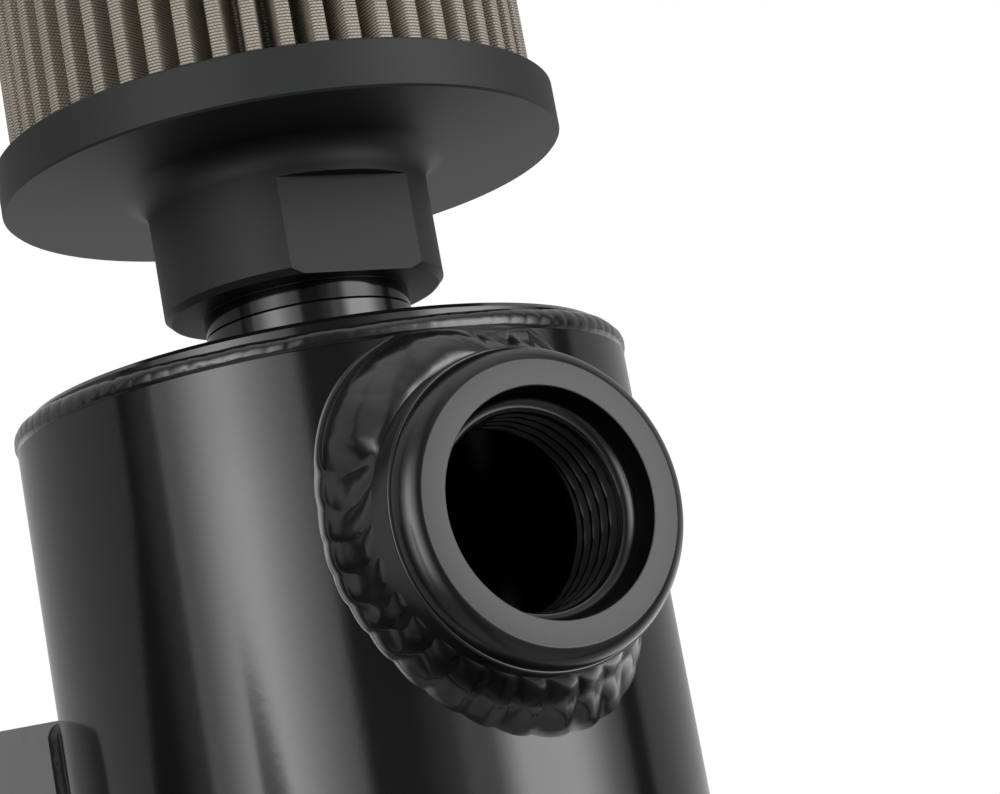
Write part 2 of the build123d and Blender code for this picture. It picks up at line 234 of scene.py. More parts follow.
class CanColours(bpy.types.PropertyGroup):
    """Colours of the finishes."""

    coat: FloatVectorProperty(
        name="Coat", description="Gloss black coat", subtype="COLOR", default=(0.004, 0.004, 0.0041)
    )
    anodised: FloatVectorProperty(
        name="Anodised",
        description="Matte black anodising",
        subtype="COLOR",
        default=(0.0125, 0.0135, 0.0133),
    )
    port_face: FloatVectorProperty(
        name="Port face",
        description="Matte turned face of the inlet",
        subtype="COLOR",
        default=(0.048, 0.048, 0.048),
    )
    wire: FloatVectorProperty(
        name="Wire",
        description="Stainless wire of the cloth",
        subtype="COLOR",
        default=(0.38, 0.339, 0.278),
    )
    # Painted shade: a dark colour laid in the dips and gaps of the weave, where shade falls between the
    # wires.
    wire_gap_shade: FloatVectorProperty(
        name="Wire gaps",
        description="Gaps between the wires",
        subtype="COLOR",
        default=(0.08, 0.068, 0.055),
    )
    steel: FloatVectorProperty(
        name="Steel", description="Perforated core", subtype="COLOR", default=(0.45, 0.45, 0.46)
    )
    aluminium: FloatVectorProperty(
        name="Aluminium", description="Bare baffle", subtype="COLOR", default=(0.62, 0.62, 0.63)
    )
    rubber: FloatVectorProperty(
        name="Rubber", description="Seals", subtype="COLOR", default=(0.015, 0.015, 0.015)
    )
    potting: FloatVectorProperty(
        name="Potting",
        description="Potting under the pleats",
        subtype="COLOR",
        default=(0.03, 0.03, 0.03),
    )
    floor: FloatVectorProperty(
        name="Floor", description="Studio floor", subtype="COLOR", default=(0.88, 0.88, 0.88)
    )


class StudioSettings(bpy.types.PropertyGroup):
    """Camera and light."""

    camera_place: FloatVectorProperty(
        name="Camera",
        description="Place of the camera",
        subtype="TRANSLATION",
        default=(0.01893, -0.36127, 0.09847),
    )
    heading: FloatProperty(
        name="Heading",
        description="Turn of the view to the right",
        subtype="ANGLE",
        default=radians(0.873),
    )
    tilt: FloatProperty(
        name="Tilt", description="Tilt of the view upwards", subtype="ANGLE", default=radians(10.187)
    )
    roll: FloatProperty(
        name="Roll", description="Roll of the camera", subtype="ANGLE", default=radians(-10.548)
    )
    lens: FloatProperty(name="Lens", description="Focal length in millimetres", default=94.76)
    surround: FloatProperty(name="Surround", description="Light of the dim surround", default=0.5)
    left_skirt: FloatProperty(
        name="Left skirt", description="Light of the whole left soft box", default=1.0
    )
    left_core: FloatProperty(
        name="Left core", description="Light in the middle of the left soft box", default=5.15
    )
    right_skirt: FloatProperty(
        name="Right skirt", description="Light of the whole right soft box", default=0.7
    )
    right_core: FloatProperty(
        name="Right core", description="Light in the middle of the right soft box", default=5.1
    )
    back_wall: FloatProperty(
        name="Back wall", description="Light of the backdrop behind the can", default=0.9
    )
    top_box: FloatProperty(name="Top box", description="Light from above", default=0.6)


class Wire:
    """A value in a finish. Arithmetic on it adds the nodes that work it out."""

    def __init__(self, finish, socket):
        self.finish = finish
        self.socket = socket

    def math(self, operation, *values):
        return self.finish.node("ShaderNodeMath", {"operation": operation}, dict(enumerate(values)))

    def __add__(self, other):
        return self.math("ADD", self, other)

    def __radd__(self, other):
        return self.math("ADD", other, self)

    def __sub__(self, other):
        return self.math("SUBTRACT", self, other)

    def __rsub__(self, other):
        return self.math("SUBTRACT", other, self)

    def __mul__(self, other):
        return self.math("MULTIPLY", self, other)

    def __rmul__(self, other):
        return self.math("MULTIPLY", other, self)

    def __truediv__(self, other):
        return self.math("DIVIDE", self, other)

    def __pow__(self, other):
        return self.math("POWER", self, other)

    def __abs__(self):
        return self.math("ABSOLUTE", self)

    def sine(self):
        return self.math("SINE", self)

    def floor(self):
        return self.math("FLOOR", self)

    def ramp(self, low, high, out_low=0.0, out_high=1.0, kind="SMOOTHSTEP"):
        """A step from out_low at low to out_high at high, soft unless its kind says otherwise."""
        values = {"Value": self, "From Min": low, "From Max": high, "To Min": out_low, "To Max": out_high}
        return self.finish.node("ShaderNodeMapRange", {"interpolation_type": kind}, values)


class Finish:
    """The nodes of one material, or of the studio's surround."""

    def __init__(self, owner):
        owner.use_nodes = True
        self.tree = owner.node_tree
        self.owner = owner

    def node(self, kind, settings=None, sockets=None, output=0):
        """Adds a node of a kind, sets it, fills its sockets and gives one of its outputs."""
        made = self.tree.nodes.new(kind)
        for name, value in (settings or {}).items():
            setattr(made, name, value)
        for key, value in (sockets or {}).items():
            self.fill(made.inputs[key], value)
        return Wire(self, made.outputs[output])

    def fill(self, socket, value):
        if isinstance(value, Wire):
            self.tree.links.new(value.socket, socket)
        else:
            socket.default_value = value

    def place(self):
        """Place on the piece, in the frame's metres."""
        return self.node("ShaderNodeTexCoord", output="Object")

    def parts(self, vector):
        """The three numbers of a vector."""
        split = self.node("ShaderNodeSeparateXYZ", sockets={0: vector}).socket.node
        return [Wire(self, out) for out in split.outputs]

    def vector(self, operation, first, second=(0, 0, 0), output=0):
        """What a vector operation makes of one or two vectors."""
        return self.node("ShaderNodeVectorMath", {"operation": operation}, {0: first, 1: second}, output)

    def grain(self, size, detail, stretch=(1, 1, 1), place=None):
        """Noise with grains of a size in metres, from 0 to 1."""
        spread = self.vector("MULTIPLY", place or self.place(), stretch)
        sockets = {"Vector": spread, "Scale": 1 / size, "Detail": detail}
        return self.node("ShaderNodeTexNoise", sockets=sockets)

    def blend(self, share, low, high):
        """A colour between two others."""
        sockets = {0: share, 6: opaque(low), 7: opaque(high)}
        return self.node("ShaderNodeMix", {"data_type": "RGBA"}, sockets, 2)

    def tone(self, share, colour, low, high):
        """A colour that goes from low times itself to high times itself."""
        return self.blend(share, [low * c for c in colour], [high * c for c in colour])

    def bump(self, height, depth):
        """Bumps of a height from 0 to 1, as deep as depth in metres."""
        return self.node("ShaderNodeBump", sockets={"Height": height, "Distance": depth, "Strength": 1.0})

    def surface(self, **sockets):
        """Fills the surface shader and gives the material."""
        shader = next(n for n in self.tree.nodes if n.type == "BSDF_PRINCIPLED")
        for name, value in sockets.items():
            self.fill(shader.inputs[name.replace("_", " ")], value)
        return self.owner


def opaque(colour):
    return colour if isinstance(colour, Wire) else (*colour[:3], 1.0)


def new_finish(name):
    return Finish(bpy.data.materials.new(name))


def made_once(name, make):
    """The material of that name, made when it is first asked for."""
    return bpy.data.materials.get(name) or make(name)


def black_coat(name, roughness):
    """Black coat: deep black, faintly cloudy, with a fine orange peel."""
    finish = new_finish(name)
    cloud = finish.grain(9 * MM, 3)
    peel = finish.grain(0.9 * MM, 1)
    colours = bpy.context.scene.can_colours
    return finish.surface(
        Base_Color=finish.tone(cloud, colours.coat, 0.8, 1.25),
        Roughness=roughness + 0.05 * cloud,
        Normal=finish.bump(peel, 0.003 * MM),
    )


def gloss_coat(name):
    """The coat on the tube and the caps, polished to a mirror."""
    return black_coat(name, 0.08)


def bung_coat(name):
    """The same coat on the turned bung, where it is a little duller."""
    return black_coat(name, 0.19)


def satin_coat(name):
    """The same coat on flat plate, where it dries to a satin with a coarser orange peel."""
    finish = new_finish(name)
    cloud = finish.grain(7 * MM, 3)
    peel = finish.grain(1.4 * MM, 2)
    colours = bpy.context.scene.can_colours
    return finish.surface(
        Base_Color=finish.tone(cloud, colours.coat, 1.0, 1.6),
        Roughness=0.24 + 0.1 * cloud,
        Specular_IOR_Level=0.85,
        Normal=finish.bump(peel, 0.006 * MM),
    )


def weld_coat(name):
    """The same coat over a weld bead, where it lies thinner over a rough skin."""
    finish = new_finish(name)
    skin = finish.grain(0.8 * MM, 3)
    patch = finish.grain(4 * MM, 2)
    colours = bpy.context.scene.can_colours
    return finish.surface(
        Base_Color=finish.tone(patch, colours.coat, 1.2, 2.2),
        Roughness=0.12 + 0.1 * patch,
        Normal=finish.bump(skin, 0.01 * MM),
        Specular_IOR_Level=0.6,
    )


def anodised_matte(name):
    """Matte black anodising with fine grit and faint tool marks. The collar below the boss is glossy."""
    finish = new_finish(name)
    grit = finish.grain(0.16 * MM, 2)
    cloud = finish.grain(14 * MM, 3)
    x, y, z = finish.parts(finish.place())
    lathe = finish.node("ShaderNodeCombineXYZ", sockets={0: (x * x + y * y) ** 0.5, 2: z})
    marks = finish.grain(0.14 * MM, 1, place=lathe)
    glossy_top = BOSS_FOOT - 0.06 * MM
    matte_foot = BOSS_FOOT - 0.02 * MM
    matte = z.ramp(glossy_top, matte_foot)
    colours = bpy.context.scene.can_colours
    skin = finish.tone(cloud, colours.anodised, 0.88, 1.14)
    return finish.surface(
        Base_Color=finish.blend(matte, colours.coat, skin),
        Roughness=0.1 + matte * (0.42 + 0.1 * grit),
        Specular_IOR_Level=0.3,
        Normal=finish.bump((grit * 0.4 + marks * 0.6) * matte, 0.02 * MM),
    )


def port_face_matte(name):
    """The inlet's faced end: matte grey with turning lines round the bore."""
    finish = new_finish(name)
    place = finish.place()
    along = finish.vector("DOT_PRODUCT", place, PORT_OUT, "Value")
    offset = finish.vector("SUBTRACT", place, UP * PORT_Z)
    reach = finish.vector("LENGTH", offset, output="Value")
    radius = (reach * reach - along * along) ** 0.5
    line_pitch = 0.11 * MM
    lines = (radius * (2 * pi / line_pitch)).sine() * 0.5 + 0.5
    grit = finish.grain(0.2 * MM, 2)
    colours = bpy.context.scene.can_colours
    return finish.surface(
        Base_Color=finish.tone(grit, colours.port_face, 0.9, 1.1),
        Roughness=0.5 + 0.1 * grit,
        Normal=finish.bump(lines * 0.5 + grit * 0.5, 0.004 * MM),
    )


def bore_shade_black(name):
    """The machined inside of the inlet: half glossy, with its colour set darker than the coat as painted
    shade in the bore.
    """
    finish = new_finish(name)
    grit = finish.grain(0.3 * MM, 3)
    colours = bpy.context.scene.can_colours
    return finish.surface(
        # Painted shade: the colour is 0.4 to 0.8 times the coat's, darker inside the bore.
        Base_Color=finish.tone(grit, colours.coat, 0.4, 0.8),
        Roughness=0.3 + 0.1 * grit,
        Specular_IOR_Level=0.24,
        Normal=finish.bump(grit, 0.004 * MM),
    )


def wire_cloth(name):
    """Woven stainless cloth, mapped in metres: level wires that dip under upright ones. Its colour darkens
    towards the dips and gaps as painted shade.
    """
    finish = new_finish(name)
    sizes = bpy.context.scene.can_sizes
    colours = bpy.context.scene.can_colours
    across, height, _ = finish.parts(finish.node("ShaderNodeUVMap", {"uv_map": CLOTH_MAP}))
    upright_pitch = 1.3 * sizes.wire_pitch
    row = height / sizes.wire_pitch
    column = across / upright_pitch
    level = abs((row * pi).sine())
    upright = ((column + row.floor() * 0.5) * (2 * pi)).sine() * 0.5 + 0.5
    weave = level * (0.55 + 0.45 * upright)
    stain = finish.grain(6 * MM, 3)
    lit = finish.tone(stain, colours.wire, 0.86, 1.08)
    return finish.surface(
        # Painted shade: the colour runs from the dark gap colour in the dips and gaps to the wire's own
        # colour on the tops.
        Base_Color=finish.blend(weave.ramp(0.1, 0.75), colours.wire_gap_shade, lit),
        Roughness=0.66 - 0.12 * weave,
        Metallic=0.1 + 0.2 * weave,
        Normal=finish.bump(weave, 0.09 * MM),
    )


def plain_metal(name, colour, roughness, metallic):
    """Sheet metal with a faint brushed grain."""
    finish = new_finish(name)
    brush = finish.grain(0.5 * MM, 3, stretch=(0.05, 1, 1))
    return finish.surface(
        Base_Color=finish.tone(brush, colour, 0.85, 1.0),
        Roughness=roughness + 0.12 * brush,
        Metallic=metallic,
        Normal=finish.bump(brush, 0.004 * MM),
    )


def core_steel(name):
    return plain_metal(name, bpy.context.scene.can_colours.steel, 0.34, 1.0)


def bare_aluminium(name):
    return plain_metal(name, bpy.context.scene.can_colours.aluminium, 0.4, 1.0)


def moulded(name, colour, roughness):
    """Moulded rubber or cast resin with a fine pitted skin."""
    finish = new_finish(name)
    pits = finish.grain(0.25 * MM, 3)
    return finish.surface(
        Base_Color=finish.tone(pits, colour, 0.8, 1.2),
        Roughness=roughness + 0.15 * pits,
        Normal=finish.bump(pits, 0.012 * MM),
    )


def seal_rubber(name):
    return moulded(name, bpy.context.scene.can_colours.rubber, 0.5)


def potting(name):
    return moulded(name, bpy.context.scene.can_colours.potting, 0.4)


# A weld's ripples, in shares of their pitch
RIPPLE_BOW = 0.4
RIPPLE_BACK = 0.65
RIPPLE_WOBBLE = 0.25
WOBBLE_RATE = 4
WOBBLE_SEED = 0
# A weld's section, in shares of its width, and the powers of its curves
RIPPLE_APEX = 0.6
TOE_FLARE = 0.13
CROWN_POWER = 0.6
SAG_POWER = 1.5
BEAD_STEPS = 26
TOE_STEPS = 6
# Depth and size of the coarse and the fine lumps on a weld's skin
SKIN_LUMPS = ((0.05 * MM, 2.2 * MM), (0.015 * MM, 0.8 * MM))


def grid_mesh(name, rows, around=False, along=False, laid_out=None):
    """Mesh of rows of points. It closes round each row, or from the last row to the first, if asked.

    laid_out gives the map's place of a point by its row and column, in metres.
    """
    wide = len(rows[0])
    faces = []
    corners = []
    for i in range(len(rows) if along else len(rows) - 1):
        for j in range(wide if around else wide - 1):
            corner = ((i, j), (i, j + 1), (i + 1, j + 1), (i + 1, j))
            faces.append([(a % len(rows)) * wide + b % wide for a, b in corner])
            corners.extend(corner)
    mesh = bpy.data.meshes.new(name)
    mesh.from_pydata([p for row in rows for p in row], [], faces)
    if laid_out:
        layer = mesh.uv_layers.new(name=CLOTH_MAP)
        layer.data.foreach_set("uv", [c for i, j in corners for c in laid_out(i, j)])
    return mesh


def outward(mesh, fill=False):
    """Turns all faces of a mesh to the outside, after filling its open ends if asked."""
    work = bmesh.new()
    work.from_mesh(mesh)
    if fill:
        bmesh.ops.holes_fill(work, edges=work.edges)
    bmesh.ops.recalc_face_normals(work, faces=work.faces)
    work.to_mesh(mesh)
    work.free()
    return mesh


def show(name, mesh, materials, body, slot, *nodes):
    """Adds a piece: it rides on a body, wears its finishes and stands for its solids."""
    piece = bpy.data.objects.new(name, mesh)
    bpy.context.scene.collection.objects.link(piece)
    for material in materials:
        mesh.materials.append(material)
    mesh.shade_smooth()
    mesh.set_sharp_from_angle(angle=SHARP)
    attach(piece, body)
    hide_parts(*nodes)


def spoke(radius, turn, height):
    """Point at a radius and a turn about the can's axis."""
    return Vector((radius * cos(turn), radius * sin(turn), height))


def drift(turn, rate, seed):
    """A slow wander with the turn, from -1 to 1, that comes back to its start."""
    return noise.noise(spoke(rate, turn, seed))


def port_point(radius, turn, out):
    """Point at a radius and a turn about the inlet's axis, and at a distance out from the can's axis."""
    return PORT_SIDE * (radius * cos(turn)) + UP * (PORT_Z + radius * sin(turn)) + PORT_OUT * out


def port_ring(radius, out, steps):
    """Points all the way round the inlet's axis."""
    return [port_point(radius, 2 * pi * j / steps, out) for j in range(steps)]


def tube_depth(radius, turn):
    """How far out the tube's surface lies at a radius and a turn about the inlet's axis."""
    return sqrt(TUBE_R**2 - (radius * cos(turn)) ** 2)


def soft_step(value, low, high):
    """From 0 at low to 1 at high, running out softly at both ends."""
    share = min(1.0, max(0.0, (value - low) / (high - low)))
    return share * share * (3 - 2 * share)


def ripple(place, across):
    """Height of a bead's ripples, from 0 to 1: bowed scales with a long back and a short front."""
    along = (place + RIPPLE_BOW * (2 * (across - RIPPLE_APEX)) ** 2) % 1.0
    rise = along / RIPPLE_BACK if along < RIPPLE_BACK else (1 - along) / (1 - RIPPLE_BACK)
    return rise * (2 - rise)


def crown(across):
    """Height of a bead's section, from 0 to 1: round, and running out softly at the far toe."""
    return sin(pi * across) ** CROWN_POWER * soft_step(1 - across, 0, TOE_FLARE)


class Section(NamedTuple):
    """One cut across a bead: its two toes, its root, its way out, its heights and its run-out."""

    near: Vector
    far: Vector
    root: Vector
    out: Vector
    bulge: float
    wave: float
    sag: float = 0.0
    run_out: Vector = None

    def points(self, place):
        """Points across the bead from toe to toe, and its root."""
        row = []
        for j in range(BEAD_STEPS + 1):
            across = j / BEAD_STEPS
            point = self.near.lerp(self.far, across)
            rough = sum(depth * noise.noise(point / size) for depth, size in SKIN_LUMPS)
            height = crown(across) * (self.bulge + rough + self.wave * (ripple(place, across) - 1))
            height -= self.sag * sin(pi * across**SAG_POWER)
            row.append(point + self.out * height)
        if self.run_out:
            row[-2:] = self.toe(row[-3])
        return row + [self.root]

    def toe(self, start):
        """Points of a curve from the bead over its far toe to the end of its run-out."""
        shares = [k / TOE_STEPS for k in range(1, TOE_STEPS + 1)]
        return [start.lerp(self.far, t).lerp(self.far.lerp(self.run_out, t), t) for t in shares]


def ripple_place(count, turn):
    """Which of a number of ripples round a bead lies at a turn. They are not quite evenly spaced."""
    return count * turn / (2 * pi) + RIPPLE_WOBBLE * drift(turn, WOBBLE_RATE, WOBBLE_SEED)


def ring_bead(name, count, section, sizes, per_ripple=10):
    """A bead all the way round, with its section at each turn."""
    turns = [2 * pi * i / (count * per_ripple) for i in range(count * per_ripple)]
    rows = [section(turn, sizes).points(ripple_place(count, turn)) for turn in turns]
    return outward(grid_mesh(name, rows, around=True, along=True))


class CATCHCAN_OT_tube(bpy.types.Operator):
    """Turn the tube, bevel its ends and cut the inlet's hole"""

    bl_idname = "catchcan.tube"
    bl_label = "Tube"

    height_steps = 64
    drill_steps = 128
    drill_start = 0.2 * TUBE_R
    drill_end = 2 * TUBE_R

    def execute(self, context):
        sizes = context.scene.can_sizes
        inner = TUBE_R - sizes.wall
        heights = self.height_steps
        low = tube_low.z + sizes.bevel
        high = tube_high.z - sizes.bevel
        profile = [(inner, tube_low.z), (CAP_R, tube_low.z)]
        profile += [(TUBE_R, low + (high - low) * i / heights) for i in range(heights + 1)]
        profile += [(CAP_R, tube_high.z), (inner, tube_high.z)]
        profile += [(inner, high + (low - high) * i / heights) for i in range(heights + 1)]
        steps = sizes.turn_steps
        rows = [[spoke(r, 2 * pi * j / steps, z) for j in range(steps)] for r, z in profile]
        mesh = outward(grid_mesh("can_tube_wall", rows, around=True, along=True))
        gloss = made_once("gloss black coat", gloss_coat)
        show("tube", self.bored(mesh), [gloss], "can", "gloss_black", "can_tube")
        return {"FINISHED"}

    def bored(self, mesh):
        """The tube's mesh with the hole that the inlet bung fills."""
        rows = [port_ring(BUNG_R, out, self.drill_steps) for out in (self.drill_start, self.drill_end)]
        drill_mesh = outward(grid_mesh("drill", rows, around=True), fill=True)
        blank = bpy.data.objects.new("blank", mesh)
        drill = bpy.data.objects.new("drill", drill_mesh)
        for made in (blank, drill):
            bpy.context.scene.collection.objects.link(made)
        cut = blank.modifiers.new("hole", "BOOLEAN")
        cut.object = drill
        cut.operation = "DIFFERENCE"
        cut.solver = "EXACT"
        graph = bpy.context.evaluated_depsgraph_get()
        bored = bpy.data.meshes.new_from_object(blank.evaluated_get(graph))
        for made in (blank, drill):
            bpy.data.objects.remove(made)
        return bored


class CATCHCAN_OT_seam_beads(bpy.types.Operator):
    """Lay the rippled beads round the top and the bottom of the tube and round the neck"""

    bl_idname = "catchcan.seam_beads"
    bl_label = "Seam beads"

    sink = 0.12 * MM
    side_power = 1.5
    toe_drop = 0.1 * MM
    lean = 0.45
    wander = 0.2 * MM
    wander_rate = 6
    wander_seed = 3
    calm_rate = 1.3
    calm_seed = 9
    calm_wave = 0.05
    more_wave = 0.25
    neck_wave = 0.7

    def execute(self, context):
        sizes = context.scene.can_sizes
        skin = made_once("weld coat", weld_coat)
        beads = (
            ("top_seam", TUBE_R, self.top_seam, "top_seam_weld"),
            ("bottom_seam", TUBE_R, self.bottom_seam, "bottom_seam_weld"),
            ("neck_bead", NECK_R, self.neck_bead, "breather_bung_weld"),
        )
        for name, radius, section, node in beads:
            count = round(2 * pi * radius / sizes.ripple_pitch)
            show(name, ring_bead(name, count, section, sizes), [skin], "can", "gloss_black", node)
        return {"FINISHED"}

    def top_seam(self, turn, sizes):
        """The seam goes higher at the can's sides, and its ripples fade in and out."""
        sideways = abs(cos(turn)) ** self.side_power
        wander = self.wander * drift(turn, self.wander_rate, self.wander_seed)
        top = tube_high.z + sizes.seam_reach + sizes.seam_climb * sideways + wander
        toe_cap = spoke(CAP_R - self.sink, turn, top)
        toe_tube = spoke(TUBE_R - self.sink, turn, tube_high.z - sizes.bevel - self.toe_drop + wander)
        root = spoke(CAP_R - self.sink, turn, tube_high.z)
        out = (spoke(1, turn, 0) + UP * self.lean).normalized()
        calm = 0.5 + 0.5 * drift(turn, self.calm_rate, self.calm_seed)
        wave = sizes.ripple_depth * (self.calm_wave + self.more_wave * calm)
        return Section(toe_cap, toe_tube, root, out, sizes.seam_bulge, wave)

    def bottom_seam(self, turn, sizes):
        """The top seam, mirrored at the middle of the tube."""
        seam = self.top_seam(turn, sizes)
        flip = Matrix.Translation(UP * (tube_low.z + tube_high.z)) @ Matrix.Scale(-1, 4, UP)
        away = Vector((seam.out.x, seam.out.y, -seam.out.z))
        return seam._replace(near=flip @ seam.near, far=flip @ seam.far, root=flip @ seam.root, out=away)

    def neck_bead(self, turn, sizes):
        """The bead between the top cap and the breather's bung."""
        leg = sizes.neck_weld_leg
        toe_neck = spoke(NECK_R - self.sink, turn, CAP_TOP + leg)
        toe_cap = spoke(NECK_R + leg, turn, CAP_TOP - self.sink)
        root = spoke(NECK_R - self.sink, turn, CAP_TOP - self.sink)
        out = (spoke(1, turn, 0) + UP).normalized()
        wave = self.neck_wave * sizes.ripple_depth
        return Section(toe_neck, toe_cap, root, out, sizes.neck_weld_bulge, wave)


class CATCHCAN_OT_port_bead(bpy.types.Operator):
    """Lay the heavy rippled bead round the inlet"""

    bl_idname = "catchcan.port_bead"
    bl_label = "Inlet bead"

    sink = 0.15 * MM
    toe_sink = sink / 3
    pitch_share = 1.5
    per_ripple = 16
    # Reach of the bead past the bung: at its sides, below, above and where the weld was started
    side = 0.8 * MM
    low = 6.0 * MM
    low_turn = radians(-70)
    high = 3.4 * MM
    high_right = 2.6 * MM
    start = 3.0 * MM
    start_turn = radians(128)
    start_power = 7
    least_upward = 0.1
    # Turns in degrees between which the bead's upper right and the swell at its start come in and go
    right_in = (118, 82)
    blob_in = (80, 105)
    blob_out = (158, 148)
    blob_swell = 3.5
    blob_calm = 0.9
    # Climb on the bung, scallops of the toe, its run-out and the hollow of the section
    low_climb = 1.5 * MM
    wander = 0.3 * MM
    wander_rate = 5
    wander_seed = 1
    scallop = 0.35 * MM
    scallop_above = 0.3
    run = 0.8 * MM
    run_less_below = 0.6
    sag = 0.4 * MM
    low_sag = 0.9 * MM

    def execute(self, context):
        sizes = context.scene.can_sizes
        mesh = ring_bead("port_bead", self.ripples(sizes), self.section, sizes, self.per_ripple)
        skin = made_once("weld coat", weld_coat)
        show("port_bead", mesh, [skin], "can", "gloss_black", "inlet_weld")
        return {"FINISHED"}

    def ripples(self, sizes):
        """How many ripples go round the bead."""
        return round(2 * pi * BUNG_R / (self.pitch_share * sizes.ripple_pitch))

    def section(self, turn, sizes):
        """The bead between the bung and the tube's round side."""
        blob = soft_step(degrees(turn), *self.blob_in) * soft_step(degrees(turn), *self.blob_out)
        below = max(-sin(turn), 0)
        reach = self.reach(turn, blob, below, sizes)
        wander = self.wander * drift(turn, self.wander_rate, self.wander_seed)
        climb = sizes.port_weld_climb + self.low_climb * below + wander
        toe_bung = port_point(BUNG_R - self.sink, turn, TUBE_R + climb)
        toe_tube = port_point(reach, turn, tube_depth(reach, turn))
        end = reach + self.run * (1 - self.run_less_below * below)
        run_out = port_point(end, turn, tube_depth(end, turn) - self.toe_sink)
        root = port_point(BUNG_R - self.sink, turn, tube_depth(BUNG_R, turn) - self.sink)
        way = toe_tube - toe_bung
        across = port_point(1, turn, 0) - port_point(0, turn, 0)
        out = (across * -way.dot(PORT_OUT) + PORT_OUT * way.dot(across)).normalized()
        bulge = sizes.port_weld_bulge * (1 + self.blob_swell * blob)
        wave = sizes.ripple_depth * (1 - self.blob_calm * blob)
        sag = (self.sag + self.low_sag * below) * (1 - blob)
        return Section(toe_bung, toe_tube, root, out, bulge, wave, sag, run_out)

    def reach(self, turn, blob, below, sizes):
        """How far from the inlet's axis the bead's toe lies on the tube. It stays below the top seam."""
        upward = max(sin(turn), 0)
        downward = max(cos(turn - self.low_turn), 0)
        rightward = soft_step(degrees(turn), *self.right_in)
        reach = BUNG_R + self.side + self.low * downward**2
        reach += (self.high + self.high_right * rightward) * upward**2
        reach += self.start * max(cos(turn - self.start_turn), 0) ** self.start_power
        scallop = self.scallop * ripple(ripple_place(self.ripples(sizes), turn), 1.0)
        reach += scallop * (self.scallop_above + (1 - self.scallop_above) * below) * (1 - blob)
        ceiling = tube_high.z - sizes.bevel - PORT_Z
        return min(reach, ceiling / max(upward, self.least_upward))


class CATCHCAN_OT_tab_beads(bpy.types.Operator):
    """Lay the rippled beads along both sides of the mounting tab"""

    bl_idname = "catchcan.tab_beads"
    bl_label = "Tab beads"

    sink = 0.12 * MM
    leg = 3.2 * MM
    leg_on_tab = 2.2 * MM
    sag = 0.5 * MM
    wave_share = 0.05
    end_taper = 0.02
    end_share = 0.35
    per_ripple = 9

    def execute(self, context):
        sizes = context.scene.can_sizes
        skin = made_once("weld coat", weld_coat)
        beads = (("tab_bead_front", -1, "tab_weld_front"), ("tab_bead_back", 1, "tab_weld_back"))
        for name, side, node in beads:
            show(name, self.bead(name, side, sizes), [skin], "can", "gloss_black", node)
        return {"FINISHED"}

    def bead(self, name, side, sizes):
        """A bead up one side of the tab, with tapered ends."""
        length = tab_bead_high.z - tab_bead_low.z
        face = TAB_FACE - self.sink
        toe = TAB_FACE + self.leg
        wall = sqrt(TUBE_R**2 - toe**2) - self.sink
        root = sqrt(TUBE_R**2 - face**2) - self.sink
        out = Vector((-1, side, 0)).normalized()
        count = round(length / sizes.ripple_pitch)
        steps = count * self.per_ripple
        rows = []
        for i in range(steps + 1):
            share = i / steps
            height = tab_bead_low.z + share * length
            full = min(1.0, share / self.end_taper, (1 - share) / self.end_taper)
            full = self.end_share + (1 - self.end_share) * sqrt(max(0.0, full))
            toe_tab = Vector((-root - self.leg_on_tab * full, side * face, height))
            toe_wall = Vector((-wall, side * (face + (toe - face) * full), height))
            inside = Vector((-root, side * face, height))
            bulge = sizes.tab_weld_bulge * full
            wave = self.wave_share * sizes.ripple_depth * full
            section = Section(toe_tab, toe_wall, inside, out, bulge, wave, self.sag * full)
            rows.append(section.points(share * count))
        return outward(grid_mesh(name, rows, around=True), fill=True)


